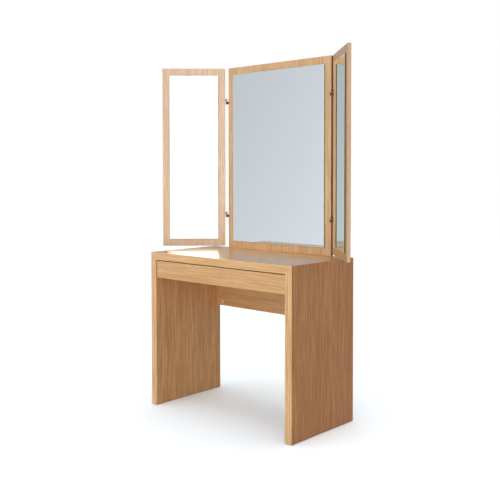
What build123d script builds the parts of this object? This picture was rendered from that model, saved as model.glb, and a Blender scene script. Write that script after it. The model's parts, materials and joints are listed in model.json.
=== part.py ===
from build123d import *
import os

# A vanity table with a three-part folding mirror. Millimetres, +Z up, +X to the user's right,
# +Y towards the wall. The origin is on the floor, under the middle of the whole object.

os.makedirs("parts", exist_ok=True)

# ---- Driving dimensions ----

DESK_WIDTH = 800.0
DESK_DEPTH = 400.0
DESK_HEIGHT = 676.0
BOARD = 33.0  # thickness of the top and of both sides
EASE = 1.0  # radius of the eased edges on every board

REAR_PANEL = 18.0
REAR_PANEL_HEIGHT = 244.0

SUPPORT_BAR = 3.0  # thickness of the steel bars that hold the mirror upright
SUPPORT_BAR_WIDTH = 30.0
SUPPORT_BAR_X = 190.0
SUPPORT_BAR_BELOW = 160.0
SUPPORT_BAR_ABOVE = 210.0

GLIDE = 2.0  # height of the floor glides
GLIDE_RADIUS = 11.0
GLIDE_INSET = 40.0
GLIDE_NAIL_RADIUS = 1.25
GLIDE_NAIL = 14.0
GLIDE_BEVEL = 0.6

MIRROR_TOP = 1510.0
MIRROR_BOARD = 15.0
MIRROR_WIDTH = 592.0
WING_WIDTH = 292.0
WING_LIFT = 7.0  # gap between a wing and the desk top
BORDER = 33.0  # bare wood round each glass
GLASS = 5.0
GLASS_ARRIS = 0.8

HINGE_GAP = 13.0  # between the centre board and a wing
HINGE_FORWARD = 6.0  # how far the hinge axis stands in front of the boards
HINGE_INSET = 154.0  # from the ends of the centre board
HINGE_HEIGHT = 25.0
KNUCKLE_RADIUS = 3.5
PIN_RADIUS = 1.5
PIN_CLEARANCE = 0.05
WASHER = 0.8
LEAF = 1.5
REST_FOLD = 43.5  # degrees that each wing stands folded forward at rest

DRAWER_GAP_TOP = 3.5
DRAWER_GAP_LEFT = 6.0  # the front sits a little to the right of the middle
DRAWER_GAP_RIGHT = 1.0
DRAWER_FRONT = 18.0
DRAWER_FRONT_HEIGHT = 73.5
DRAWER_BOARD = 12.0
DRAWER_LENGTH = 330.0
DRAWER_LIP = 16.0  # how far the front hangs below the box, to be pulled by
DRAWER_BOX_HEIGHT = 48.0
DRAWER_BOTTOM = 4.0
DRAWER_BOTTOM_RISE = 6.0
GROOVE = 6.0
GROOVE_PLAY = 0.4
FINGER_COVE_RADIUS = 6.0

RAIL_LENGTH = 300.0
RAIL_SETBACK = 4.0  # from the back of the drawer front to the rails
RAIL_HEIGHT_ABOVE_LIP = 24.0
RAIL_WALL = 1.2
RAIL_SPACE = 12.5  # between the drawer box and each side of the desk
BALL_RADIUS = 1.9
BALL_POCKET_RADIUS = 2.05
BALLS_PER_ROW = 5
CAGE_LENGTH = 110.0
CAGE_WALL = 0.6
CAGE_SETBACK = 95.0

# ---- Places worked out from them ----

HALF_WIDTH = DESK_WIDTH / 2
INNER = HALF_WIDTH - BOARD
DESK_FRONT = -(DESK_DEPTH + SUPPORT_BAR) / 2
DESK_BACK = DESK_FRONT + DESK_DEPTH
TOP_UNDERSIDE = DESK_HEIGHT - BOARD
REAR_PANEL_FRONT = DESK_BACK - REAR_PANEL
REAR_PANEL_BOTTOM = TOP_UNDERSIDE - REAR_PANEL_HEIGHT

MIRROR_FACE = DESK_BACK - MIRROR_BOARD
HINGE_X = MIRROR_WIDTH / 2 + HINGE_GAP / 2
HINGE_Y = MIRROR_FACE - HINGE_FORWARD
HINGE_HEIGHTS = (DESK_HEIGHT + HINGE_INSET, MIRROR_TOP - HINGE_INSET)

FRONT_TOP = TOP_UNDERSIDE - DRAWER_GAP_TOP
FRONT_BOTTOM = FRONT_TOP - DRAWER_FRONT_HEIGHT
BOX_BOTTOM = FRONT_BOTTOM + DRAWER_LIP
BOX_TOP = BOX_BOTTOM + DRAWER_BOX_HEIGHT
BOX_FRONT = DESK_FRONT + DRAWER_FRONT
BOX_BACK = BOX_FRONT + DRAWER_LENGTH
BOX_HALF = INNER - RAIL_SPACE
BOX_INNER = BOX_HALF - DRAWER_BOARD
RAIL_FRONT = BOX_FRONT + RAIL_SETBACK
RAIL_Z = BOX_BOTTOM + RAIL_HEIGHT_ABOVE_LIP


# ---- Shared shapes ----

def block(x, y, z):
    """A box from its (low, high) pairs along X, Y and Z."""
    spans = (x, y, z)
    centre = [(low + high) / 2 for low, high in spans]
    size = [high - low for low, high in spans]
    return Pos(*centre) * Box(*size)


def eased(solid, radius=EASE):
    """The solid with every edge lightly rounded, as sanded boards have."""
    return fillet(solid.edges(), radius)


def group(pieces):
    """Several separate solids of one kind, kept in one node."""
    return Compound([solid for piece in pieces for solid in piece.solids()])


def mirrored(piece):
    """The same piece on the other side of the desk."""
    return mirror(piece, about=Plane.YZ)


def rod(radius, start, direction, length):
    """A round bar from a point, along a direction."""
    return Plane(origin=start, z_dir=direction) * Cylinder(
        radius, length, align=(Align.CENTER, Align.CENTER, Align.MIN)
    )


SOCKET_RADIUS_SHARE = 0.3  # a flat head's socket: its radius as a share of the head's
SOCKET_DEPTH_SHARE = 0.6  # and its depth, for either head
PAN_SOCKET_RADIUS_SHARE = 0.35
PAN_DOME_SHARE = 0.45  # the rounding of a pan head's rim, as a share of its height


def countersunk_screw(face, direction, length, head_radius, shank_radius):
    """A wood screw with its flat head flush with a face, driven along a direction."""
    cone = head_radius - shank_radius
    head = Plane(origin=face, z_dir=direction) * Cone(
        head_radius, shank_radius, cone, align=(Align.CENTER, Align.CENTER, Align.MIN)
    )
    socket = rod(
        head_radius * SOCKET_RADIUS_SHARE, face, direction, cone * SOCKET_DEPTH_SHARE
    )
    return head + rod(shank_radius, face, direction, length) - socket


def pan_head_screw(face, direction, length, head_radius, shank_radius, head):
    """A wood screw whose domed head stands on a face, driven along a direction."""
    crown = Vector(*face) - Vector(*direction) * head
    cap = rod(head_radius, crown, direction, head)
    rims = cap.edges().filter_by(GeomType.CIRCLE)
    cap = fillet(rims.sort_by_distance(crown)[0], head * PAN_DOME_SHARE)
    socket = rod(head_radius * PAN_SOCKET_RADIUS_SHARE, crown, direction, head * SOCKET_DEPTH_SHARE)
    return cap + rod(shank_radius, face, direction, length) - socket


def cut(solid, *tools):
    """The solid with every tool's room taken out, less the plugs left inside screw sockets."""
    for tool in tools:
        solid = solid - tool
    return max(solid.solids(), key=lambda piece: piece.volume)


# ---- Desk ----

SPLINE_WIDTH = 20.0
SPLINE_THICKNESS = 4.0
SPLINE_STOP = 30.0  # the splines stop short of the front and back edges


def mitre_splines():
    """Plywood strips glued across the two mitres between the top and the sides."""
    at = Pos(HALF_WIDTH - BOARD / 2, (DESK_FRONT + DESK_BACK) / 2, DESK_HEIGHT - BOARD / 2)
    strip = Box(SPLINE_WIDTH, DESK_DEPTH - 2 * SPLINE_STOP, SPLINE_THICKNESS)
    right = at * Rot(0, 45, 0) * strip
    return group([right, mirrored(right)])


def carcass_boards():
    """The top and both sides: an inverted U with eased edges, parted along its two mitres."""
    outside = block((-HALF_WIDTH, HALF_WIDTH), (DESK_FRONT, DESK_BACK), (GLIDE, DESK_HEIGHT))
    inside = block((-INNER, INNER), (DESK_FRONT, DESK_BACK), (GLIDE, TOP_UNDERSIDE))
    frame = eased(outside - inside)
    outline = Polyline(
        (-DESK_WIDTH, 0, DESK_HEIGHT + HALF_WIDTH),
        (DESK_WIDTH, 0, DESK_HEIGHT + HALF_WIDTH),
        (INNER - BOARD, 0, TOP_UNDERSIDE - BOARD),
        (BOARD - INNER, 0, TOP_UNDERSIDE - BOARD),
        close=True,
    )
    wedge = extrude(make_face(outline), amount=DESK_DEPTH, dir=(0, 1, 0), both=True)
    left, right = (frame - wedge).solids().sort_by(Axis.X)
    return frame & wedge, left, right


def rear_panel_board():
    """The stretcher between the sides, at the back, up to the underside of the top."""
    return eased(
        block((-INNER, INNER), (REAR_PANEL_FRONT, DESK_BACK), (REAR_PANEL_BOTTOM, TOP_UNDERSIDE))
    )


CAM_RADIUS = 7.5
CAM_DEPTH = 14.0
CAM_INSET = 34.0  # from the end of the rear panel to a cam's centre
CAM_EDGE = 18.0  # from its bottom or top edge
CAM_SOCKET_RADIUS = 2.4
CAM_SOCKET = 4.0
CAM_COVER_RADIUS = 8.5
CAM_COVER = 1.2
CAM_STUB_RADIUS = 2.2
CAM_STUB = 3.5
CAM_COVER_ROUND = 0.72
CAM_WAY_IN_SPARE = 1.0  # how far the bolt's way into a cam runs past the cam's centre
CAM_HEIGHTS = (REAR_PANEL_BOTTOM + CAM_EDGE, TOP_UNDERSIDE - CAM_EDGE)
CAM_MID = REAR_PANEL_FRONT + REAR_PANEL / 2

BOLT_SHANK_RADIUS = 3.0
BOLT_THREAD_RADIUS = 3.5
BOLT_THREAD = 11.0
BOLT_HEAD_RADIUS = 3.8
BOLT_HEAD = 3.0
BOLT_NECK_RADIUS = 2.4
BOLT_HOLE_RADIUS = 4.0


def on_both_sides(make, heights):
    """One piece for each height on the right, and its copy on the left."""
    right = [make(z) for z in heights]
    return group(right + [mirrored(piece) for piece in right])


def cam_bolt(z):
    """A bolt screwed into a side, with a neck and a head that the cam pulls on."""
    neck_end = INNER - CAM_INSET + BOLT_HEAD
    thread = rod(BOLT_THREAD_RADIUS, (INNER, CAM_MID, z), (1, 0, 0), BOLT_THREAD)
    shank_start = INNER - CAM_INSET + CAM_RADIUS
    shank = rod(BOLT_SHANK_RADIUS, (INNER, CAM_MID, z), (-1, 0, 0), INNER - shank_start)
    neck = rod(BOLT_NECK_RADIUS, (shank_start, CAM_MID, z), (-1, 0, 0), shank_start - neck_end)
    head = rod(BOLT_HEAD_RADIUS, (neck_end, CAM_MID, z), (-1, 0, 0), BOLT_HEAD)
    return thread + shank + neck + head


def cam_bolt_room(z):
    """The hole in the end of the rear panel that a cam's bolt slides into."""
    return rod(BOLT_HOLE_RADIUS, (INNER, CAM_MID, z), (-1, 0, 0), CAM_INSET)


def cam_lock(z):
    """A die-cast cam that pulls the bolt's head, with a screwdriver socket in its face."""
    centre = (INNER - CAM_INSET, REAR_PANEL_FRONT, z)
    body = rod(CAM_RADIUS, centre, (0, 1, 0), CAM_DEPTH)
    socket = rod(CAM_SOCKET_RADIUS, centre, (0, 1, 0), CAM_SOCKET)
    reach = CAM_RADIUS + BOLT_HEAD
    mouth = (INNER - CAM_INSET + reach, CAM_MID, z)
    way_in = rod(BOLT_HOLE_RADIUS, mouth, (-1, 0, 0), reach + CAM_WAY_IN_SPARE)
    return body - socket - way_in


def cam_room(z):
    """The pocket in the rear panel that holds a cam."""
    return rod(CAM_RADIUS, (INNER - CAM_INSET, REAR_PANEL_FRONT, z), (0, 1, 0), CAM_DEPTH)


def cam_cover(z):
    """A plastic cap over a cam, held by a stub in the cam's socket."""
    centre = (INNER - CAM_INSET, REAR_PANEL_FRONT, z)
    cap = rod(CAM_COVER_RADIUS, centre, (0, -1, 0), CAM_COVER)
    rim = cap.edges().sort_by(Axis.Y)[0]
    return fillet(rim, CAM_COVER_ROUND) + rod(CAM_STUB_RADIUS, centre, (0, 1, 0), CAM_STUB)


PANEL_DOWEL_RADIUS = 4.0
PANEL_DOWEL = 30.0
PANEL_DOWEL_EDGE = 80.0  # from the rear panel's bottom or top edge
PANEL_DOWEL_HEIGHTS = (REAR_PANEL_BOTTOM + PANEL_DOWEL_EDGE, TOP_UNDERSIDE - PANEL_DOWEL_EDGE)


def panel_dowel(z):
    """A beech dowel, half in the rear panel and half in a side."""
    return rod(PANEL_DOWEL_RADIUS, (INNER - PANEL_DOWEL / 2, CAM_MID, z), (1, 0, 0), PANEL_DOWEL)


def floor_glides():
    """Nylon glides nailed under the front and back of each side."""
    glides = []
    for x in (-HALF_WIDTH + BOARD / 2, HALF_WIDTH - BOARD / 2):
        for y in (DESK_FRONT + GLIDE_INSET, DESK_BACK - GLIDE_INSET):
            pad = rod(GLIDE_RADIUS, (x, y, 0), (0, 0, 1), GLIDE)
            pad = chamfer(pad.edges().sort_by(Axis.Z)[0], GLIDE_BEVEL)
            glides.append(pad + rod(GLIDE_NAIL_RADIUS, (x, y, GLIDE), (0, 0, 1), GLIDE_NAIL))
    return group(glides)


# ---- Drawer rails, drawn on the right side: u runs from the desk's side towards the drawer ----

# Each member is a channel: the span of u that it fills, and its half height.
CABINET_CHANNEL = ((0.0, 9.6), 17.5)
MIDDLE_CHANNEL = ((2.4, 10.6), 12.1)
DRAWER_CHANNEL = ((5.0, RAIL_SPACE), 6.7)
RAIL_LIP = 1.5
OUTER_CAGE = ((1.5, 6.9), 14.5)
INNER_CAGE = ((4.0, 8.4), 9.1)
OUTER_BALL_U = 4.9
INNER_BALL_U = 6.4
RAIL_SCREW_OFFSETS = (25.0, 150.0, 275.0)
RAIL_SCREW_HEAD_RADIUS = 3.0
RAIL_SCREW_SHANK_RADIUS = 1.6
CABINET_RAIL_SCREW = 14.0
DRAWER_RAIL_SCREW = 10.0


def along_rail(u, height, start, length, wall, open_to_drawer=True, lip=0.0):
    """A channel along Y between two values of u, open to one side, with optional inturned lips."""
    near, far = (INNER - u[1], INNER - u[0])
    span = (start, start + length)
    web = (far - wall, far) if open_to_drawer else (near, near + wall)
    channel = block(web, span, (RAIL_Z - height, RAIL_Z + height))
    channel += block((near, far), span, (RAIL_Z + height - wall, RAIL_Z + height))
    channel += block((near, far), span, (RAIL_Z - height, RAIL_Z - height + wall))
    if lip:
        reach = wall + lip
        channel += block((near, near + wall), span, (RAIL_Z + height - reach, RAIL_Z + height))
        channel += block((near, near + wall), span, (RAIL_Z - height, RAIL_Z - height + reach))
    return channel


def rail_screw(y):
    """A screw through the cabinet member into the right side of the desk."""
    face = (INNER - RAIL_WALL, y, RAIL_Z)
    radii = (RAIL_SCREW_HEAD_RADIUS, RAIL_SCREW_SHANK_RADIUS)
    return countersunk_screw(face, (1, 0, 0), CABINET_RAIL_SCREW, *radii)


def drawer_rail_screw(y):
    """A screw through the drawer member into the right side of the drawer box."""
    face = (BOX_HALF + RAIL_WALL, y, RAIL_Z)
    radii = (RAIL_SCREW_HEAD_RADIUS, RAIL_SCREW_SHANK_RADIUS)
    return countersunk_screw(face, (-1, 0, 0), DRAWER_RAIL_SCREW, *radii)


def ball_row(u, z, radius):
    """One row of evenly spaced balls, or of the pockets that hold them."""
    step = CAGE_LENGTH / BALLS_PER_ROW
    first = RAIL_FRONT + CAGE_SETBACK + step / 2
    return [Pos(INNER - u, first + step * i, z) * Sphere(radius) for i in range(BALLS_PER_ROW)]


def ball_rows(u, height, radius):
    """The upper and the lower row of one cage, at the middle of its walls."""
    return [
        ball
        for z in (RAIL_Z - height + CAGE_WALL / 2, RAIL_Z + height - CAGE_WALL / 2)
        for ball in ball_row(u, z, radius)
    ]


def ball_cage(channel, ball_u):
    """A steel strip that keeps the balls apart, with a pocket for each ball."""
    u, height = channel
    cage = along_rail(u, height, RAIL_FRONT + CAGE_SETBACK, CAGE_LENGTH, CAGE_WALL)
    return cut(cage, *ball_rows(ball_u, height, BALL_POCKET_RADIUS))


# ---- Drawer, closed at rest ----

def drawer_front_board():
    """The inset front, with a cove along the back of its lower edge for the fingers."""
    across = (DRAWER_GAP_LEFT - INNER, INNER - DRAWER_GAP_RIGHT)
    front = eased(block(across, (DESK_FRONT, BOX_FRONT), (FRONT_BOTTOM, FRONT_TOP)))
    start = (across[0], BOX_FRONT, FRONT_BOTTOM + DRAWER_LIP / 2)
    return front - rod(FINGER_COVE_RADIUS, start, (1, 0, 0), across[1] - across[0])


def drawer_groove():
    """The room that the drawer's bottom panel needs in the boards round it."""
    reach = BOX_INNER + GROOVE
    low = BOX_BOTTOM + DRAWER_BOTTOM_RISE
    return block(
        (-reach, reach),
        (BOX_FRONT + DRAWER_BOARD - GROOVE, BOX_BACK - DRAWER_BOARD + GROOVE),
        (low, low + DRAWER_BOTTOM + GROOVE_PLAY),
    )


def drawer_bottom_panel():
    """A thin panel that slides into the groove of all four box boards."""
    edge = GROOVE - GROOVE_PLAY
    reach = BOX_INNER + edge
    low = BOX_BOTTOM + DRAWER_BOTTOM_RISE
    return block(
        (-reach, reach),
        (BOX_FRONT + DRAWER_BOARD - edge, BOX_BACK - DRAWER_BOARD + edge),
        (low, low + DRAWER_BOTTOM),
    )


DRAWER_DOWEL_RADIUS = 3.0
DRAWER_DOWEL = 24.0
DRAWER_DOWEL_IN_SIDE = 8.0
DRAWER_DOWEL_RISES = (18.0, 38.0)


def drawer_dowels():
    """Two dowels at each corner of the drawer box."""
    right = [
        rod(
            DRAWER_DOWEL_RADIUS,
            (BOX_INNER + DRAWER_DOWEL_IN_SIDE, y, BOX_BOTTOM + rise),
            (-1, 0, 0),
            DRAWER_DOWEL,
        )
        for y in (BOX_FRONT + DRAWER_BOARD / 2, BOX_BACK - DRAWER_BOARD / 2)
        for rise in DRAWER_DOWEL_RISES
    ]
    return group(right + [mirrored(dowel) for dowel in right])


FRONT_SCREW_XS = (100.0, 290.0)
FRONT_SCREW_RISE = 28.0
FRONT_SCREW = 26.0
FRONT_SCREW_HEAD_RADIUS = 4.0
FRONT_SCREW_SHANK_RADIUS = 1.8
FRONT_SCREW_HEAD = 2.2


def drawer_front_screws():
    """Screws from inside the box into the back of the front."""
    right = [
        pan_head_screw(
            (x, BOX_FRONT + DRAWER_BOARD, BOX_BOTTOM + FRONT_SCREW_RISE),
            (0, -1, 0),
            FRONT_SCREW,
            FRONT_SCREW_HEAD_RADIUS,
            FRONT_SCREW_SHANK_RADIUS,
            FRONT_SCREW_HEAD,
        )
        for x in FRONT_SCREW_XS
    ]
    return group(right + [mirrored(screw) for screw in right])


# ---- Mirror ----

def glass(x, z):
    """A mirror pane glued to the front of a board, with its polished edges bevelled."""
    pane = block(
        (x[0] + BORDER, x[1] - BORDER),
        (MIRROR_FACE - GLASS, MIRROR_FACE),
        (z[0] + BORDER, z[1] - BORDER),
    )
    front_edges = pane.faces().sort_by(Axis.Y)[0].edges()
    return chamfer(front_edges, GLASS_ARRIS)


def board(x, z):
    """One of the three veneered boards of the mirror."""
    return eased(block(x, (MIRROR_FACE, DESK_BACK), z))


BOARD_DOWEL_RADIUS = 4.0
BOARD_DOWEL = 40.0
BOARD_DOWEL_IN_DESK = 16.0
BOARD_DOWEL_X = 240.0


def board_dowels():
    """Dowels that place the centre board on the desk top."""
    start = (BOARD_DOWEL_X, DESK_BACK - MIRROR_BOARD / 2, DESK_HEIGHT - BOARD_DOWEL_IN_DESK)
    right = rod(BOARD_DOWEL_RADIUS, start, (0, 0, 1), BOARD_DOWEL)
    return group([right, mirrored(right)])


BAR_SCREW_OFFSETS = (-140.0, -60.0, 60.0, 190.0)
BAR_SCREW = 14.0
BAR_SCREW_HEAD_RADIUS = 4.0
BAR_SCREW_SHANK_RADIUS = 1.9
BAR_CORNER = 5.0


def bar_screws():
    """Four countersunk screws through the right support bar."""
    return [
        countersunk_screw(
            (SUPPORT_BAR_X, DESK_BACK + SUPPORT_BAR, DESK_HEIGHT + offset),
            (0, -1, 0),
            BAR_SCREW,
            BAR_SCREW_HEAD_RADIUS,
            BAR_SCREW_SHANK_RADIUS,
        )
        for offset in BAR_SCREW_OFFSETS
    ]


def support_bar():
    """A flat steel bar across the joint between the rear panel and the centre board."""
    half = SUPPORT_BAR_WIDTH / 2
    bar = block(
        (SUPPORT_BAR_X - half, SUPPORT_BAR_X + half),
        (DESK_BACK, DESK_BACK + SUPPORT_BAR),
        (DESK_HEIGHT - SUPPORT_BAR_BELOW, DESK_HEIGHT + SUPPORT_BAR_ABOVE),
    )
    bar = fillet(bar.edges().filter_by(Axis.Y), BAR_CORNER)
    return cut(bar, *bar_screws())


# ---- Hinges, drawn on the right and with the wing open flat: toward is +1 for the wing's leaf ----

LEAF_DEPTH = 19.0  # from the axis back along a board's edge
HINGE_SCREW_DEPTHS = (10.0, 16.0)
HINGE_SCREW = 10.0
HINGE_SCREW_HEAD_RADIUS = 2.4
HINGE_SCREW_SHANK_RADIUS = 1.2
WASHER_PLAY = 0.1
KNUCKLE_MID_GAP = WASHER + WASHER_PLAY  # between the lower knuckle and the upper one
PIN_SHORT = 0.5  # how far the pin stops below the upper knuckle's top
PIN_BEVEL = 0.45


def hinge_leaf(z, toward):
    """A knuckle with a cranked leaf along the edge of a board: the wing's is the upper one."""
    half = HINGE_HEIGHT / 2
    low, high = (KNUCKLE_MID_GAP, half) if toward > 0 else (-half, 0.0)
    span = (z + low, z + high)
    bore = PIN_RADIUS + (PIN_CLEARANCE if toward > 0 else 0.0)
    outer = HINGE_GAP / 2
    edge = sorted((HINGE_X + toward * outer, HINGE_X + toward * (outer - LEAF)))
    bridge = sorted((HINGE_X, HINGE_X + toward * outer))
    leaf = block(edge, (HINGE_Y - KNUCKLE_RADIUS, HINGE_Y + LEAF_DEPTH), span)
    leaf += block(bridge, (HINGE_Y - KNUCKLE_RADIUS, HINGE_Y - KNUCKLE_RADIUS + LEAF), span)
    leaf += rod(KNUCKLE_RADIUS, (HINGE_X, HINGE_Y, span[0]), (0, 0, 1), high - low)
    leaf -= rod(bore, (HINGE_X, HINGE_Y, span[0]), (0, 0, 1), high - low)
    return cut(leaf, *hinge_screws(z, toward))


def hinge_screws(z, toward):
    """Two screws through a leaf into the edge of its board."""
    middle = z + toward * HINGE_HEIGHT / 4
    x = HINGE_X + toward * (HINGE_GAP / 2 - LEAF)
    return [
        countersunk_screw(
            (x, HINGE_Y + depth, middle),
            (toward, 0, 0),
            HINGE_SCREW,
            HINGE_SCREW_HEAD_RADIUS,
            HINGE_SCREW_SHANK_RADIUS,
        )
        for depth in HINGE_SCREW_DEPTHS
    ]


def hinge_pin(z):
    """A pin fixed in the lower knuckle, that the upper one lifts off."""
    half = HINGE_HEIGHT / 2
    pin = rod(PIN_RADIUS, (HINGE_X, HINGE_Y, z - half), (0, 0, 1), HINGE_HEIGHT - PIN_SHORT)
    return chamfer(pin.edges().sort_by(Axis.Z)[-1], PIN_BEVEL)


def hinge_washer(z):
    """A brass washer that carries the wing on the lower knuckle."""
    ring = rod(KNUCKLE_RADIUS, (HINGE_X, HINGE_Y, z), (0, 0, 1), WASHER)
    return ring - rod(PIN_RADIUS, (HINGE_X, HINGE_Y, z), (0, 0, 1), WASHER)


def folded(piece):
    """A piece of the right wing, swung forward from flat to its place at rest."""
    return Pos(HINGE_X, HINGE_Y, 0) * Rot(0, 0, -REST_FOLD) * Pos(-HINGE_X, -HINGE_Y, 0) * piece


# ---- The nodes ----

def desk_nodes():
    """The carcass and everything fixed inside it."""
    top, left_side, right_side = carcass_boards()
    splines = mitre_splines()
    bolts = on_both_sides(cam_bolt, CAM_HEIGHTS)
    bolt_rooms = on_both_sides(cam_bolt_room, CAM_HEIGHTS)
    cam_rooms = on_both_sides(cam_room, CAM_HEIGHTS)
    dowels = on_both_sides(panel_dowel, PANEL_DOWEL_HEIGHTS)
    glides = floor_glides()
    rail = along_rail(*CABINET_CHANNEL, RAIL_FRONT, RAIL_LENGTH, RAIL_WALL, lip=RAIL_LIP)
    right_screws = [rail_screw(RAIL_FRONT + offset) for offset in RAIL_SCREW_OFFSETS]
    rail_screws = group(right_screws + [mirrored(screw) for screw in right_screws])
    rail = cut(rail, *right_screws)
    in_sides = (splines, bolts, dowels, glides, rail_screws)
    right_bar_screws = bar_screws()
    screws_of_bars = group(right_bar_screws + [mirrored(screw) for screw in right_bar_screws])
    board_pins = board_dowels()
    centre = board((-MIRROR_WIDTH / 2, MIRROR_WIDTH / 2), (DESK_HEIGHT, MIRROR_TOP))
    bar = support_bar()
    leaf_screws = [screw for z in HINGE_HEIGHTS for screw in hinge_screws(z, -1)]
    centre_hinge_screws = group(leaf_screws + [mirrored(screw) for screw in leaf_screws])
    return {
        "top_panel": cut(top, splines, board_pins),
        "left_side_panel": cut(left_side, *in_sides),
        "right_side_panel": cut(right_side, *in_sides),
        "rear_panel": cut(rear_panel_board(), bolt_rooms, cam_rooms, dowels, screws_of_bars),
        "mitre_splines": splines,
        "rear_panel_dowels": dowels,
        "cam_bolts": bolts,
        "cam_locks": on_both_sides(cam_lock, CAM_HEIGHTS),
        "cam_covers": on_both_sides(cam_cover, CAM_HEIGHTS),
        "floor_glides": glides,
        "left_cabinet_rail": mirrored(rail),
        "right_cabinet_rail": rail,
        "cabinet_rail_screws": rail_screws,
        "centre_board": cut(centre, board_pins, screws_of_bars, centre_hinge_screws),
        "centre_mirror": glass((-MIRROR_WIDTH / 2, MIRROR_WIDTH / 2), (DESK_HEIGHT, MIRROR_TOP)),
        "centre_board_dowels": board_pins,
        "left_support_bar": mirrored(bar),
        "right_support_bar": bar,
        "support_bar_screws": screws_of_bars,
        "centre_hinge_leaves": on_both_sides(lambda z: hinge_leaf(z, -1), HINGE_HEIGHTS),
        "hinge_pins": on_both_sides(hinge_pin, HINGE_HEIGHTS),
        "hinge_washers": on_both_sides(hinge_washer, HINGE_HEIGHTS),
        "centre_hinge_screws": centre_hinge_screws,
    }


def drawer_nodes():
    """The drawer box, its front and the rail members that travel with it."""
    groove = drawer_groove()
    dowels = drawer_dowels()
    front_screws = drawer_front_screws()
    heights = (BOX_BOTTOM, BOX_TOP)
    across = (-BOX_INNER, BOX_INNER)
    right_side = eased(block((BOX_INNER, BOX_HALF), (BOX_FRONT, BOX_BACK), heights))
    inner_front = eased(block(across, (BOX_FRONT, BOX_FRONT + DRAWER_BOARD), heights))
    back = eased(block(across, (BOX_BACK - DRAWER_BOARD, BOX_BACK), heights))
    rail = along_rail(
        *DRAWER_CHANNEL, RAIL_FRONT, RAIL_LENGTH, RAIL_WALL, open_to_drawer=False
    )
    screws = [drawer_rail_screw(RAIL_FRONT + offset) for offset in RAIL_SCREW_OFFSETS]
    right_side = cut(right_side, groove, dowels, *screws)
    rail = cut(rail, *screws)
    return {
        "drawer_front": cut(drawer_front_board(), front_screws),
        "drawer_inner_front": cut(inner_front, groove, dowels, front_screws),
        "drawer_left_side": mirrored(right_side),
        "drawer_right_side": right_side,
        "drawer_back": cut(back, groove, dowels),
        "drawer_bottom": drawer_bottom_panel(),
        "drawer_dowels": dowels,
        "drawer_front_screws": front_screws,
        "left_drawer_rail": mirrored(rail),
        "right_drawer_rail": rail,
        "drawer_rail_screws": group(screws + [mirrored(screw) for screw in screws]),
    }


def moving_rail_nodes():
    """The middle members of both rails, and the two cages of balls in each rail."""
    middle = along_rail(*MIDDLE_CHANNEL, RAIL_FRONT, RAIL_LENGTH, RAIL_WALL, lip=RAIL_LIP)
    nodes = {"left_middle_rail": mirrored(middle), "right_middle_rail": middle}
    for name, channel, ball_u in (
        ("outer", OUTER_CAGE, OUTER_BALL_U),
        ("inner", INNER_CAGE, INNER_BALL_U),
    ):
        cage = ball_cage(channel, ball_u)
        balls = group(ball_rows(ball_u, channel[1], BALL_RADIUS))
        nodes[name + "_ball_cages"] = group([cage, mirrored(cage)])
        nodes[name + "_balls"] = group([balls, mirrored(balls)])
    return nodes


def wing_nodes():
    """Both folding wings, each with its glass, hinge leaves and screws."""
    inner = MIRROR_WIDTH / 2 + HINGE_GAP
    across = (inner, inner + WING_WIDTH)
    heights = (DESK_HEIGHT + WING_LIFT, MIRROR_TOP)
    screws = group([screw for z in HINGE_HEIGHTS for screw in hinge_screws(z, 1)])
    right = {
        "wing_board": cut(board(across, heights), screws),
        "wing_mirror": glass(across, heights),
        "hinge_leaves": group([hinge_leaf(z, 1) for z in HINGE_HEIGHTS]),
        "hinge_screws": screws,
    }
    nodes = {}
    for name, piece in right.items():
        nodes["right_" + name] = folded(piece)
        nodes["left_" + name] = mirrored(folded(piece))
    return nodes


for make_nodes in (desk_nodes, drawer_nodes, moving_rail_nodes, wing_nodes):
    for node, shape in make_nodes().items():
        export_step(shape, f"parts/{node}.step")
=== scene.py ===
import json
import math
from collections import namedtuple

import bpy
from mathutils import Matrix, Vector


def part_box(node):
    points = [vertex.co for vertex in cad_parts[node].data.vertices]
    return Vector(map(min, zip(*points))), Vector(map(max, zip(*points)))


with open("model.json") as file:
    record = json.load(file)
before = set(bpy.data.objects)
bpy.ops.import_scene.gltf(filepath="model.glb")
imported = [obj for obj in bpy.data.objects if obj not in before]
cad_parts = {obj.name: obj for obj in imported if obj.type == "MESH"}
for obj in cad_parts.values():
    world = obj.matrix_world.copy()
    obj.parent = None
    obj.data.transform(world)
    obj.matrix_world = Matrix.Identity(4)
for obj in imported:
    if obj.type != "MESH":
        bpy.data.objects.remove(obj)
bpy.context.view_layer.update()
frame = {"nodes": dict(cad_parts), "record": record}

# The looks of the vanity table, around the CAD model. Metres, +Z up, +X right, +Y to the wall.

WING_FOLD = math.radians(43.5)  # how far each wing stands forward of flat at rest
WHITE = (1, 1, 1, 1)


# ---- Camera ----

CAMERA_PLACE = (2.2193, -2.4228, 1.0151)
CAMERA_YAW = 42.400  # degrees, as are the pitch and the roll
CAMERA_PITCH = -1.859
CAMERA_ROLL = 0.037
CAMERA_LENS = 55.73  # millimetres, as is the sensor
CAMERA_SENSOR = 36.0
CAMERA_SHIFT = -0.10  # of the frame's width, downwards


def make_camera():
    """An almost level camera to the front right, about as high as a seated person's eyes."""
    camera = bpy.data.objects.new("camera", bpy.data.cameras.new("camera"))
    bpy.context.scene.collection.objects.link(camera)
    camera.location = CAMERA_PLACE
    camera.rotation_euler = (
        math.radians(90 + CAMERA_PITCH),
        math.radians(CAMERA_ROLL),
        math.radians(CAMERA_YAW),
    )
    camera.data.lens = CAMERA_LENS
    camera.data.sensor_width = CAMERA_SENSOR
    camera.data.shift_y = CAMERA_SHIFT
    bpy.context.scene.camera = camera


make_camera()
bpy.context.scene.view_settings.view_transform = "Standard"


# ---- Node trees and colours ----


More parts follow.
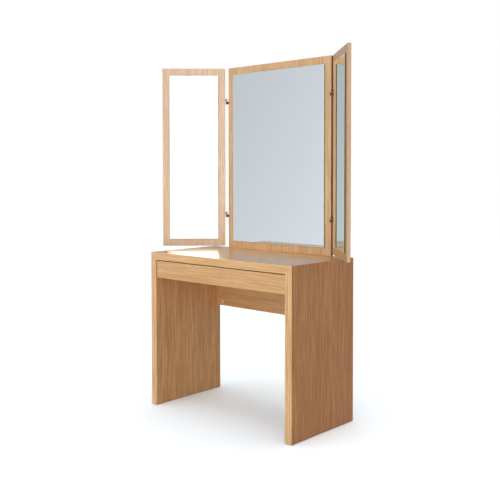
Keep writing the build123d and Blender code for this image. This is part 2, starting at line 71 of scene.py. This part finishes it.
class Graph:
    """A node tree with short calls that add a node, set its values and link its inputs."""

    def __init__(self, tree):
        self.tree = tree
        tree.nodes.clear()

    def feed(self, socket, value):
        """Gives an input a value, or links the output socket that feeds it."""
        if isinstance(value, bpy.types.NodeSocket):
            self.tree.links.new(value, socket)
        else:
            socket.default_value = value

    def add(self, kind, inputs=None, **settings):
        """A new node. Each input is a value, or the output socket that feeds it."""
        node = self.tree.nodes.new(kind)
        for name, value in settings.items():
            setattr(node, name, value)
        for key, value in (inputs or {}).items():
            self.feed(node.inputs[key], value)
        return node

    def math(self, operation, *values):
        """The result of a Math node."""
        return self.add("ShaderNodeMath", dict(enumerate(values)), operation=operation).outputs[0]

    def vector_math(self, operation, first, second=(0, 0, 0)):
        """The vector result of a Vector Math node."""
        return self.add("ShaderNodeVectorMath", {0: first, 1: second}, operation=operation).outputs[0]

    def dot(self, first, second):
        """The dot product of two vectors."""
        node = self.add("ShaderNodeVectorMath", {0: first, 1: second}, operation="DOT_PRODUCT")
        return node.outputs["Value"]

    def parts(self, vector):
        """The three components of a vector."""
        return self.add("ShaderNodeSeparateXYZ", {0: vector}).outputs

    def turned(self, vector, angle):
        """A vector turned about Z."""
        inputs = {"Vector": vector, "Angle": angle}
        return self.add("ShaderNodeVectorRotate", inputs, rotation_type="Z_AXIS").outputs[0]

    def span(self, value, low, high, to_low=0.0, to_high=1.0):
        """A value carried smoothly from one range to another, and held at its ends."""
        node = self.add(
            "ShaderNodeMapRange",
            {"Value": value, "From Min": low, "From Max": high, "To Min": to_low, "To Max": to_high},
            interpolation_type="SMOOTHSTEP",
        )
        return node.outputs["Result"]

    def mix(self, factor, first, second, blend="MIX"):
        """Two colours mixed by a factor."""
        node = self.add("ShaderNodeMix", data_type="RGBA", blend_type=blend)
        for key, value in ((0, factor), (6, first), (7, second)):
            self.feed(node.inputs[key], value)
        return node.outputs[2]

    def noise(self, vector, scale, detail=2.0, roughness=0.5):
        """The value of a noise texture, from 0 to 1."""
        inputs = {"Vector": vector, "Scale": scale, "Detail": detail, "Roughness": roughness}
        return self.add("ShaderNodeTexNoise", inputs).outputs["Fac"]

    def streaks(self, vector, along, across, detail=2.0, roughness=0.5):
        """Noise drawn out along X: how many features there are in a metre along, and across."""
        stretched = self.vector_math("MULTIPLY", vector, (along, across, across))
        return self.noise(stretched, 1.0, detail, roughness)

    def bump(self, height, depth, strength):
        """A normal from a height of 0 to 1, whose full depth is in metres."""
        inputs = {"Height": height, "Distance": depth, "Strength": strength}
        return self.add("ShaderNodeBump", inputs).outputs[0]

    def surface(self, inputs):
        """The material's one Principled shader and its output."""
        shader = self.add("ShaderNodeBsdfPrincipled", inputs)
        self.add("ShaderNodeOutputMaterial", {"Surface": shader.outputs[0]})


def linear_level(level):
    """One sRGB level, 0 to 255, on a linear scale of 0 to 1, by the sRGB standard's own curve."""
    share = level / 255
    if share < 0.04045:
        return share / 12.92
    return ((share + 0.055) / 1.055) ** 2.4


def linear(red, green, blue):
    """An sRGB colour, 0 to 255, as a linear colour with alpha."""
    return (linear_level(red), linear_level(green), linear_level(blue), 1)


def new_material(name):
    """An empty material and its graph."""
    material = bpy.data.materials.new(name)
    material.use_nodes = True
    return material, Graph(material.node_tree)


# ---- Studio ----

AMBIENT = 0.136  # the light from the sides, above and below
FRONT_LIGHT = 2.285  # what the front adds, falling off with the square of the cosine
BACK_LIGHT = 0.90  # what the back adds, in the same way

REFLECTED_ROOM = (0.30, 0.30, 0.30, 1)
WALL_AT = (-0.674, -0.738, 0.0)  # the pale grey wall that the centre mirror looks at
WALL_SPREAD = (0.50, 0.90)  # the cosines between which the wall fades in, as for the two below
WALL_COLOUR = (0.663, 0.669, 0.776, 1)
WALL_GRADIENT = (0.85, -0.78, -0.55)  # the wall grows brighter to the right and downwards
WALL_END = 1.24  # how much brighter the wall is at its far left, which the right wing looks at
WALL_END_SPREAD = (-0.77, -0.70)  # the directions' X between which that far left fades out
BACKDROP_AT = (-0.674, 0.738, 0.0)  # the pale backdrop behind the table
BACKDROP_SPREAD = (0.55, 0.85)
BACKDROP = (0.50, 0.50, 0.50, 1)
SOFTBOX_AT = (0.674, -0.738, 0.0)  # the large lamp that the left wing looks at
SOFTBOX_SPREAD = (0.72, 0.92)
SOFTBOX = (6.5, 6.5, 6.5, 1)
SOFTBOX_IN_GLASS = (1.3, 1.3, 1.3, 1)  # seen straight in a mirror: white, with no glare round it
FIRST_BOUNCE = 1.5  # a ray with fewer glossy bounces than this has had only one


def soft_light(graph, direction):
    """What lights the object: strong from the front, weaker from the back, least from the sides."""
    depth = graph.parts(direction)[1]
    towards_front = graph.math("MAXIMUM", graph.math("MULTIPLY", depth, -1.0), 0.0)
    towards_back = graph.math("MAXIMUM", depth, 0.0)
    front = graph.math("POWER", towards_front, 2.0)
    back = graph.math("POWER", towards_back, 2.0)
    level = graph.math("MULTIPLY_ADD", front, FRONT_LIGHT, AMBIENT)
    level = graph.math("MULTIPLY_ADD", back, BACK_LIGHT, level)
    return graph.add("ShaderNodeCombineColor", {0: level, 1: level, 2: level}).outputs[0]


def reflected_wall(graph, direction):
    """The wall's colour, brighter to the right and downwards, and at its far left."""
    slope = graph.math("ADD", graph.dot(direction, WALL_GRADIENT), 1.0)
    far_left = graph.span(graph.parts(direction)[0], *WALL_END_SPREAD, WALL_END, 1.0)
    wall = graph.vector_math("SCALE", WALL_COLOUR[:3])
    graph.feed(wall.node.inputs["Scale"], graph.math("MULTIPLY", slope, far_left))
    return wall


def reflected_lamp(graph):
    """The large lamp's colour: plain white where a mirror shows it, and bright for every other gloss."""
    path = graph.add("ShaderNodeLightPath").outputs
    first = graph.math("LESS_THAN", path["Glossy Depth"], FIRST_BOUNCE)
    in_glass = graph.math("MULTIPLY", path["Is Singular Ray"], first)
    return graph.mix(in_glass, SOFTBOX, SOFTBOX_IN_GLASS)


def reflected_studio(graph, direction):
    """What mirrors and lacquer reflect: a dim room, a pale grey wall, a pale backdrop and a large lamp."""
    towards_wall = graph.span(graph.dot(direction, WALL_AT), *WALL_SPREAD)
    towards_backdrop = graph.span(graph.dot(direction, BACKDROP_AT), *BACKDROP_SPREAD)
    towards_lamp = graph.span(graph.dot(direction, SOFTBOX_AT), *SOFTBOX_SPREAD)
    colour = graph.mix(towards_wall, REFLECTED_ROOM, reflected_wall(graph, direction))
    colour = graph.mix(towards_backdrop, colour, BACKDROP)
    return graph.mix(towards_lamp, colour, reflected_lamp(graph))


def make_studio():
    """A white studio. The background is white, and soft light and reflections are set apart."""
    world = bpy.data.worlds.new("studio")
    bpy.context.scene.world = world
    world.use_nodes = True
    graph = Graph(world.node_tree)
    direction = graph.add("ShaderNodeTexCoord").outputs["Generated"]
    path = graph.add("ShaderNodeLightPath").outputs
    light = soft_light(graph, direction)
    colour = graph.mix(path["Is Glossy Ray"], light, reflected_studio(graph, direction))
    colour = graph.mix(path["Is Camera Ray"], colour, WHITE)
    background = graph.add("ShaderNodeBackground", {"Color": colour})
    graph.add("ShaderNodeOutputWorld", {"Surface": background.outputs[0]})


FLOOR_REACH = 9.0
FLOOR_CLOUDS = (3.0, 4.0)  # the noise's scale and detail
FLOOR_DARK = (0.86, 0.92, 0.965, 1)
FLOOR_LIGHT = (0.88, 0.94, 0.985, 1)
FLOOR_ROUGHNESS = 0.8
FLOOR_GLOW = 0.02  # how bright the floor would be in the dark
FLOOR_BOUNCE = (0.42, 0.42, 0.42, 1)  # how much light the floor gives back to the object

LAMP_POWER = 2.25
LAMP_TILT = math.radians(2)
LAMP_WIDTH = math.radians(66)
SHADOW_CASTERS = ("top_panel", "left_side_panel", "right_side_panel", "rear_panel", "drawer_front")


def floor_paint():
    """White paint. What the camera sees of it is brighter than what the object gets back from it."""
    material, graph = new_material("floor_paint")
    place = graph.add("ShaderNodeTexCoord").outputs["Object"]
    seen = graph.add("ShaderNodeLightPath").outputs["Is Camera Ray"]
    paint_colour = graph.mix(graph.noise(place, *FLOOR_CLOUDS), FLOOR_DARK, FLOOR_LIGHT)
    graph.surface(
        {
            "Base Color": graph.mix(seen, FLOOR_BOUNCE, paint_colour),
            "Roughness": FLOOR_ROUGHNESS,
            "Emission Color": WHITE,
            "Emission Strength": graph.math("MULTIPLY", seen, FLOOR_GLOW),
        }
    )
    return material


def make_floor():
    """A white floor that fades into the white background."""
    mesh = bpy.data.meshes.new("floor")
    signs = ((-1, -1), (1, -1), (1, 1), (-1, 1))
    corners = [(x * FLOOR_REACH, y * FLOOR_REACH, 0) for x, y in signs]
    mesh.from_pydata(corners, [], [(0, 1, 2, 3)])
    mesh.materials.append(floor_paint())
    floor = bpy.data.objects.new("floor", mesh)
    bpy.context.scene.collection.objects.link(floor)
    floor.visible_glossy = False
    return floor


def light_the_floor(floor):
    """A wide lamp overhead that lights the floor alone. The desk's boards alone shade it, softly."""
    lamp = bpy.data.objects.new("overhead_lamp", bpy.data.lights.new("overhead_lamp", "SUN"))
    lamp.data.energy = LAMP_POWER
    lamp.data.angle = LAMP_WIDTH
    lamp.rotation_euler = (LAMP_TILT, 0, 0)
    bpy.context.scene.collection.objects.link(lamp)
    lit = bpy.data.collections.new("lit_by_the_overhead_lamp")
    lit.objects.link(floor)
    lamp.light_linking.receiver_collection = lit
    shading = bpy.data.collections.new("shades_the_overhead_lamp")
    for node in SHADOW_CASTERS:
        shading.objects.link(frame["nodes"][node])
    lamp.light_linking.blocker_collection = shading


make_studio()
light_the_floor(make_floor())


# ---- Wood ----

PLAIN = WHITE  # a tint that changes nothing

OAK = {
    "light": linear(233, 188, 133),
    "mid": linear(221, 171, 114),
    "dark": linear(184, 128, 76),
    "pore": linear(132, 84, 46),
}
PINE = {
    "light": linear(236, 212, 172),
    "mid": linear(224, 194, 148),
    "dark": linear(196, 154, 104),
    "pore": linear(168, 122, 78),
}
BEECH = {
    "light": linear(224, 186, 148),
    "mid": linear(210, 166, 124),
    "dark": linear(182, 132, 92),
    "pore": linear(140, 94, 60),
}
PLYWOOD = {
    "light": linear(222, 194, 154),
    "mid": linear(206, 174, 130),
    "dark": linear(176, 138, 94),
    "pore": linear(138, 100, 64),
}

# The grain's layers: how many features in a metre along and across it, then detail and roughness.
SWAY_LAYER = (1.1, 5.0)
BROAD_LAYER = (0.8, 22.0, 3.0, 0.6)
RING_LAYER = (5.0, 190.0, 2.0, 0.6)
FINE_LAYER = (18.0, 420.0, 2.0, 0.6)
PORE_LAYER = (42.0, 2100.0, 1.0)
HUE_LAYER = (1.3, 42.0, 2.0)

# The noise levels between which each layer comes in, and for some what they are carried to.
BROAD_SPAN = (0.25, 0.75)
RING_SPAN = (0.36, 0.64)
FINE_SPAN = (0.42, 0.72)
PORE_SPAN = (0.58, 0.70)
PORES_BY_RING = (0.40, 0.60, 0.3, 1.0)  # pores are faint between the rings
HUE_SPAN = (0.3, 0.7)

# How strongly each layer shows in the colour.
RING_STRENGTH = 0.45
FINE_STRENGTH = 0.32
PORE_STRENGTH = 0.40
REDDER = (1.03, 0.985, 0.97, 1)
GREENER = (0.97, 1.01, 1.0, 1)

SEED_STEP = (1.7, 0.9, 0.4)  # how far on in the noise, in metres, the next seed's board lies
SWAY_DEPTH = 0.012  # how far the grain wanders sideways along a board

WEAR_REACH = 0.0035  # how far in from an arris the wear goes
WEAR_PATCHES = (60.0, 3.0)  # the noise's scale and detail
WEAR_SPAN = (0.35, 0.7, 0.1, 0.45)

SHEET_SPAN = (-0.3, 0.3)  # the cosines between which one sheet gives way to the other
EDGE_SPAN = (0.3, 0.9)  # the cosines between which an edge gives way to a sheet

HANDLED_PATCHES = (7.0, 3.0)  # the noise's scale and detail
HANDLED_ROUGHNESS = 0.10
WOOD_ROUGHNESS = 0.38
PORE_ROUGHNESS = 0.15
RING_DEPTH = 0.25  # shares of the bump's full depth
PORE_DEPTH = 0.6
WOOD_BUMP = (0.00012, 0.35)  # the full depth and the strength
WOOD_SPECULAR = 0.25
VENEER_COAT = 0.9
BARE_WOOD_COAT = 0.15
COAT_ROUGHNESS = 0.21
COAT_IOR = 1.40

Board = namedtuple("Board", "centre half along turn")  # in metres, the grain's axis, radians about Z
GRAIN_ORDER = {"X": (0, 1, 2), "Y": (1, 0, 2), "Z": (2, 1, 0)}  # the axis along the grain comes first


def board_place(graph, board):
    """Where a point is in its board, in metres from the centre, and the same with X along the grain."""
    place = graph.add("ShaderNodeTexCoord").outputs["Object"]
    place = graph.vector_math("SUBTRACT", place, tuple(board.centre))
    place = graph.turned(place, board.turn)
    parts = graph.parts(place)
    ordered = {axis: parts[source] for axis, source in enumerate(GRAIN_ORDER[board.along])}
    return place, graph.add("ShaderNodeCombineXYZ", ordered).outputs[0]


def swaying(graph, grain, seed):
    """The board's own stretch of grain, which wanders slowly from side to side."""
    grain = graph.vector_math("ADD", grain, tuple(seed * step for step in SEED_STEP))
    sway = graph.math("MULTIPLY_ADD", graph.streaks(grain, *SWAY_LAYER), SWAY_DEPTH, -SWAY_DEPTH / 2)
    sideways = graph.add("ShaderNodeCombineXYZ", {1: sway, 2: sway}).outputs[0]
    return graph.vector_math("ADD", grain, sideways)


def rings_and_pores(graph, grain):
    """Where the growth rings' dark lines are, and where the pores are, which follow the rings."""
    rings = graph.streaks(grain, *RING_LAYER)
    pores = graph.span(graph.streaks(grain, *PORE_LAYER), *PORE_SPAN)
    pore_mask = graph.math("MULTIPLY", pores, graph.span(rings, *PORES_BY_RING))
    return graph.span(rings, *RING_SPAN), pore_mask


def grain_colour(graph, grain, palette, figure, ring_lines, pore_mask):
    """Broad bands, then the rings' lines, fine streaks, pores and a drift of hue."""
    broad = graph.span(graph.streaks(grain, *BROAD_LAYER), *BROAD_SPAN)
    fine = graph.span(graph.streaks(grain, *FINE_LAYER), *FINE_SPAN)
    hue = graph.span(graph.streaks(grain, *HUE_LAYER), *HUE_SPAN)
    colour = graph.mix(broad, palette["light"], palette["mid"])
    ring_share = graph.math("MULTIPLY", ring_lines, RING_STRENGTH * figure)
    colour = graph.mix(ring_share, colour, palette["dark"])
    fine_share = graph.math("MULTIPLY", fine, FINE_STRENGTH * figure)
    colour = graph.mix(fine_share, colour, palette["dark"])
    pore_share = graph.math("MULTIPLY", pore_mask, PORE_STRENGTH)
    colour = graph.mix(pore_share, colour, palette["pore"])
    return graph.mix(1.0, colour, graph.mix(hue, REDDER, GREENER), "MULTIPLY")


def nearness_to_an_arris(graph, place, half):
    """How near a point is to one of its board's arrises: 1 on it, 0 a few millimetres in."""
    size = graph.vector_math("ABSOLUTE", place)
    x, y, z = graph.parts(graph.vector_math("SUBTRACT", tuple(half), size))
    lowest = graph.math("MINIMUM", graph.math("MINIMUM", x, y), z)
    highest = graph.math("MAXIMUM", graph.math("MAXIMUM", x, y), z)
    total = graph.math("ADD", graph.math("ADD", x, y), z)
    second = graph.math("SUBTRACT", graph.math("SUBTRACT", total, lowest), highest)
    return graph.span(second, 0.0, WEAR_REACH, 1.0, 0.0)


def wear(graph, place, half):
    """How worn a point is: only near the arrises, and in patches."""
    patches = graph.span(graph.noise(place, *WEAR_PATCHES), *WEAR_SPAN)
    return graph.math("MULTIPLY", nearness_to_an_arris(graph, place, half), patches)


def sheet_tint(graph, board, face, edge):
    """Face on the board's front, right or top sheet, edge on its narrow edges, plain on its other sheet."""
    thin = min(range(3), key=lambda axis: board.half[axis])
    normal = graph.turned(graph.add("ShaderNodeTexCoord").outputs["Normal"], board.turn)
    outwards = -1.0 if thin == 1 else 1.0  # the front looks towards -Y, the right and the top towards +
    facing = graph.math("MULTIPLY", graph.parts(normal)[thin], outwards)
    sheet = graph.mix(graph.span(facing, *SHEET_SPAN), PLAIN, face)
    on_a_sheet = graph.span(graph.math("ABSOLUTE", facing), *EDGE_SPAN)
    return graph.mix(on_a_sheet, edge, sheet)


def wood(name, palette, board, seed, face=PLAIN, edge=PLAIN, figure=1.0, coat=VENEER_COAT):
    """Wood: growth rings, fine streaks, pores, a drift of hue, worn arrises and a satin coat.

    A sheet of veneer and an edge strip each take a tint: face tints the board's front, right or top sheet,
    edge tints its narrow edges, and its other sheet is plain. Most of the tints given are painted light and
    shade, lighter or darker as the sheet is lit. Figure is how strongly the grain shows.
    """
    material, graph = new_material(name)
    place, grain = board_place(graph, board)
    grain = swaying(graph, grain, seed)
    ring_lines, pore_mask = rings_and_pores(graph, grain)
    colour = grain_colour(graph, grain, palette, figure, ring_lines, pore_mask)
    colour = graph.mix(wear(graph, place, board.half), colour, palette["light"])
    # The sheet and edge tints, which carry painted light and shade on most boards.
    colour = graph.mix(1.0, colour, sheet_tint(graph, board, face, edge), "MULTIPLY")
    handled = graph.noise(place, *HANDLED_PATCHES)
    roughness = graph.math("MULTIPLY_ADD", handled, HANDLED_ROUGHNESS, WOOD_ROUGHNESS)
    roughness = graph.math("MULTIPLY_ADD", pore_mask, PORE_ROUGHNESS, roughness)
    ring_height = graph.math("MULTIPLY", ring_lines, -RING_DEPTH)
    height = graph.math("MULTIPLY_ADD", pore_mask, -PORE_DEPTH, ring_height)
    graph.surface(
        {
            "Base Color": colour,
            "Roughness": roughness,
            "Normal": graph.bump(height, *WOOD_BUMP),
            "Specular IOR Level": WOOD_SPECULAR,
            "Coat Weight": coat,
            "Coat Roughness": COAT_ROUGHNESS,
            "Coat IOR": COAT_IOR,
        }
    )
    return material


def paint(node, material):
    """Gives a CAD node its material."""
    for slot in frame["nodes"][node].material_slots:
        slot.material = material


def node_middle(node):
    """The centre and the half size of a node's box at rest."""
    low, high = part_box(node)
    return (low + high) / 2, (high - low) / 2


def square_board(node, along):
    """A board that lies square to the axes."""
    centre, half = node_middle(node)
    return Board(centre, half, along, 0.0)


# Tints of the oak's sheets and edges, which multiply the plain oak's colour. Those marked painted below are
# painted light and shade: lighter or darker as each sheet is lit, not the veneer's own colour.
EDGE_STRIP = (1.12, 1.22, 1.34, 1)  # the desk's edge strips are paler than its faces
LEFT_SLAB_FACE_LIGHT = (1.12, 1.11, 1.12, 1)  # the left side's inner sheet: painted light, paler than plain
RIGHT_SLAB_FACE_SHADE = (0.95, 0.76, 0.66, 1)  # the right side's outer sheet: painted shade, darker and redder as it faces away from the light
# Painted shade: the top sheet a little darker, as the light comes mostly from the front.
TOP_FACE_SHADE = (0.92, 0.91, 0.90, 1)
# Painted shade: the rear panel's front sheet a little darker, set back under the top.
REAR_FACE_SHADE = (0.90, 0.90, 0.90, 1)
CENTRE_BOARD_FACE = (0.92, 0.99, 1.12, 1)  # less yellow than plain
CENTRE_BOARD_EDGE_SHADE = (0.38, 0.26, 0.11, 1)  # painted shade: the centre board's narrow edges much darker, as they lie in the narrow gaps by the wings
LEFT_WING_FACE_SHADE_AND_SHEEN = (0.82, 0.93, 1.30, 1)  # painted shade and sheen: darker, and much less yellow, as the studio's pale reflection makes it
# Painted shade: the right wing's front sheet, and below it its narrow edges, darker than plain.
RIGHT_WING_FACE_SHADE = (0.70, 0.68, 0.68, 1)
RIGHT_WING_EDGE_SHADE = (0.64, 0.61, 0.55, 1)
SLAB_FIGURE = 1.5  # the sides' grain shows the most

BOARD_SEED = 1.0
WING_SEED = 9.0
INNER_SEED = 20.0


def paint_boards():
    """Oak on every veneered board: grain across the top, the rear panel and the drawer, else upright."""
    rows = (
        ("top_panel", "X", TOP_FACE_SHADE, EDGE_STRIP, 1.0),
        ("left_side_panel", "Z", LEFT_SLAB_FACE_LIGHT, EDGE_STRIP, SLAB_FIGURE),
        ("right_side_panel", "Z", RIGHT_SLAB_FACE_SHADE, EDGE_STRIP, SLAB_FIGURE),
        ("rear_panel", "X", REAR_FACE_SHADE, PLAIN, 1.0),
        ("drawer_front", "X", PLAIN, PLAIN, 1.0),
        ("centre_board", "Z", CENTRE_BOARD_FACE, CENTRE_BOARD_EDGE_SHADE, 1.0),
    )
    for number, (node, along, face, edge, figure) in enumerate(rows):
        board = square_board(node, along)
        paint(node, wood("oak_" + node, OAK, board, BOARD_SEED + number, face, edge, figure))


def paint_wings():
    """Oak on the wing boards, which stand turned at rest."""
    _, centre_half = node_middle("centre_board")
    thickness = 2 * centre_half.y
    rows = (
        (-1, "left_wing_board", LEFT_WING_FACE_SHADE_AND_SHEEN, PLAIN),
        (1, "right_wing_board", RIGHT_WING_FACE_SHADE, RIGHT_WING_EDGE_SHADE),
    )
    for side, node, face, edge in rows:
        centre, half = node_middle(node)
        width = (2 * half.x - thickness * math.sin(WING_FOLD)) / math.cos(WING_FOLD)
        true_half = Vector((width / 2, thickness / 2, half.z))
        board = Board(centre, true_half, "Z", side * WING_FOLD)
        paint(node, wood("oak_" + node, OAK, board, WING_SEED + side, face, edge))


def paint_inner_woods():
    """Pine on the drawer box, plywood on its bottom and the splines, beech on the dowels."""
    rows = (
        ("drawer_inner_front", PINE, "X"),
        ("drawer_left_side", PINE, "Y"),
        ("drawer_right_side", PINE, "Y"),
        ("drawer_back", PINE, "X"),
        ("drawer_bottom", PLYWOOD, "X"),
        ("mitre_splines", PLYWOOD, "Y"),
        ("rear_panel_dowels", BEECH, "X"),
        ("centre_board_dowels", BEECH, "Z"),
        ("drawer_dowels", BEECH, "X"),
    )
    for number, (node, palette, along) in enumerate(rows):
        board = square_board(node, along)
        paint(node, wood("wood_" + node, palette, board, INNER_SEED + number, coat=BARE_WOOD_COAT))


paint_boards()
paint_wings()
paint_inner_woods()


# ---- Mirrors ----

SILVER_LIGHT = (0.89, 0.94, 0.865, 1)
SILVER_DARK = (0.86, 0.92, 0.835, 1)
GLASS_EDGE_LIGHT = linear(92, 104, 70)
GLASS_EDGE_DARK = linear(58, 72, 44)
ARRIS_LIGHT = linear(236, 240, 238)
ARRIS_DARK = linear(206, 216, 210)
GLASS_FACE_COSINE = 0.95  # the pane's face looks at least this squarely forward
GLASS_ARRIS_COSINE = 0.30  # its arris at least this much, and its edges less
SMUDGES = (6.0, 5.0, 0.6)  # the noise's scale, detail and roughness
SMUDGE_SPAN = (0.68, 0.95, 0.0, 0.02)  # only the heaviest smudges dull the silver, and barely
GRINDING = (700.0, 2.0)
GRINDING_SPAN = (0.2, 0.8, 0.10, 0.30)
GREEN_PATCHES = 25.0
GLASS_SPECULAR = 0.12


def mirror_glass(name, facing):
    """Silvered glass: a clear face, a ground arris and green polished edges, told by the normal."""
    material, graph = new_material(name)
    coordinates = graph.add("ShaderNodeTexCoord").outputs
    front = graph.dot(coordinates["Normal"], facing)
    on_face = graph.math("GREATER_THAN", front, GLASS_FACE_COSINE)
    on_arris = graph.math("GREATER_THAN", front, GLASS_ARRIS_COSINE)
    place = coordinates["Object"]
    smudge = graph.noise(place, *SMUDGES)
    grinding = graph.noise(place, *GRINDING)
    edge = graph.mix(graph.noise(place, GREEN_PATCHES), GLASS_EDGE_DARK, GLASS_EDGE_LIGHT)
    colour = graph.mix(on_arris, edge, graph.mix(grinding, ARRIS_DARK, ARRIS_LIGHT))
    colour = graph.mix(on_face, colour, graph.mix(smudge, SILVER_DARK, SILVER_LIGHT))
    ground = graph.span(grinding, *GRINDING_SPAN)
    clear = graph.span(smudge, *SMUDGE_SPAN)
    roughness = graph.math("MULTIPLY_ADD", on_face, graph.math("SUBTRACT", clear, ground), ground)
    graph.surface(
        {
            "Base Color": colour,
            "Metallic": on_face,
            "Roughness": roughness,
            "Specular IOR Level": GLASS_SPECULAR,
        }
    )
    return material


def paint_mirrors():
    """Each pane has its own facing direction at rest."""
    paint("centre_mirror", mirror_glass("glass_centre", (0, -1, 0)))
    for side, node in ((-1, "left_wing_mirror"), (1, "right_wing_mirror")):
        facing = (-side * math.sin(WING_FOLD), -math.cos(WING_FOLD), 0)
        paint(node, mirror_glass("glass_" + node, facing))


paint_mirrors()


# ---- Metal and plastic ----

CLOUD_NOISE = (3.0, 0.6)  # detail and roughness
DULL_SPAN = (0.35, 0.68)  # the noise levels between which bright metal turns dull
CLOUD_ROUGHNESS = 0.16
BRUSHED_ROUGHNESS = 0.12
PITS = (3500.0, 1.0)  # the noise's scale and detail
PIT_SPAN = (0.60, 0.75)
PIT_STRENGTH = 0.5
PIT_DEPTH = 0.4  # next to the brush lines' depth
METAL_BUMP = (0.00003, 0.4)  # the full depth and the strength


def metal(name, bright, dull, roughness, brushed, cloud, metallic=1.0):
    """Plated or bare metal: clouds of dulling, brush lines along the stretch, and fine pits."""
    material, graph = new_material(name)
    place = graph.add("ShaderNodeTexCoord").outputs["Object"]
    clouds = graph.noise(place, cloud, *CLOUD_NOISE)
    lines = graph.noise(graph.vector_math("MULTIPLY", place, brushed), 1.0, 2.0)
    pits = graph.noise(place, *PITS)
    dull_colour = linear(*dull)
    colour = graph.mix(graph.span(clouds, *DULL_SPAN), linear(*bright), dull_colour)
    pit_share = graph.math("MULTIPLY", graph.span(pits, *PIT_SPAN), PIT_STRENGTH)
    colour = graph.mix(pit_share, colour, dull_colour)
    rough = graph.math("MULTIPLY_ADD", clouds, CLOUD_ROUGHNESS, roughness - CLOUD_ROUGHNESS / 2)
    rough = graph.math("MULTIPLY_ADD", lines, BRUSHED_ROUGHNESS, rough)
    height = graph.math("MULTIPLY_ADD", pits, PIT_DEPTH, lines)
    graph.surface(
        {
            "Base Color": colour,
            "Metallic": metallic,
            "Roughness": rough,
            "Normal": graph.bump(height, *METAL_BUMP),
        }
    )
    return material


TINT_CLOUDS = (30.0, 3.0)  # the noise's scale and detail
TINT_SPAN = (0.3, 0.7)
PEEL_NOISE = (2.0, 0.6)  # detail and roughness
RUBBED_SPAN = (0.62, 0.8)
RUBBED_STRENGTH = 0.35
PEEL_ROUGHNESS = 0.15
PLASTIC_SMOOTHER = 0.07  # taken off the roughness, as the texture adds to it
PLASTIC_BUMP_STRENGTH = 0.5


def plastic(name, light, shade, roughness, texture, depth):
    """Moulded plastic or powder coat: a fine texture, faint clouds of colour and rubbed high spots."""
    material, graph = new_material(name)
    place = graph.add("ShaderNodeTexCoord").outputs["Object"]
    clouds = graph.noise(place, *TINT_CLOUDS)
    orange_peel = graph.noise(place, texture, *PEEL_NOISE)
    light_colour = linear(*light)
    colour = graph.mix(graph.span(clouds, *TINT_SPAN), linear(*shade), light_colour)
    rubbed = graph.math("MULTIPLY", graph.span(orange_peel, *RUBBED_SPAN), RUBBED_STRENGTH)
    colour = graph.mix(rubbed, colour, light_colour)
    rough = graph.math("MULTIPLY_ADD", orange_peel, PEEL_ROUGHNESS, roughness - PLASTIC_SMOOTHER)
    graph.surface(
        {
            "Base Color": colour,
            "Roughness": rough,
            "Normal": graph.bump(orange_peel, depth, PLASTIC_BUMP_STRENGTH),
        }
    )
    return material


ALONG_Y = (900.0, 12.0, 900.0)  # brush lines that run front to back
NO_LINES = (400.0, 400.0, 400.0)

# Slot: name, bright and dull colour in sRGB, roughness, brush lines, the clouds' scale, how metallic.
METALS = {
    "hinge_bronze": ("bronze", (122, 86, 66), (78, 54, 43), 0.38, NO_LINES, 220.0, 0.75),
    "hinge_screw": ("bronze_screw", (128, 92, 72), (84, 60, 48), 0.34, NO_LINES, 300.0, 0.75),
    "washer_brass": ("brass", (222, 186, 112), (176, 138, 78), 0.26, NO_LINES, 260.0),
    "rail_zinc": ("rail_zinc", (214, 217, 220), (174, 178, 180), 0.30, ALONG_Y, 40.0),
    "screw_zinc": ("screw_zinc", (216, 216, 208), (178, 176, 160), 0.30, NO_LINES, 240.0),
    "ball_steel": ("ball_steel", (226, 227, 229), (200, 202, 205), 0.14, NO_LINES, 300.0),
    "cam_zinc": ("cam_zinc", (196, 198, 200), (150, 152, 155), 0.42, NO_LINES, 160.0),
}

# Slot: name, light and shade colour in sRGB, roughness, the texture's scale, its depth.
PLASTICS = {
    "bar_paint": ("bar_powder_coat", (54, 54, 57), (38, 38, 40), 0.52, 1100.0, 0.00008),
    "cover_plastic": ("cover_plastic", (226, 190, 140), (214, 176, 124), 0.45, 1600.0, 0.00003),
    "glide_nylon": ("glide_nylon", (222, 219, 208), (206, 202, 190), 0.50, 1400.0, 0.00004),
}


def paint_hardware():
    """Each fitting gets the look of its slot in the record."""
    looks = {slot: metal(*row) for slot, row in METALS.items()}
    looks.update({slot: plastic(*row) for slot, row in PLASTICS.items()})
    for row in frame["record"]["subparts"]:
        if row["material_slot"] in looks:
            paint(row["node"], looks[row["material_slot"]])


paint_hardware()
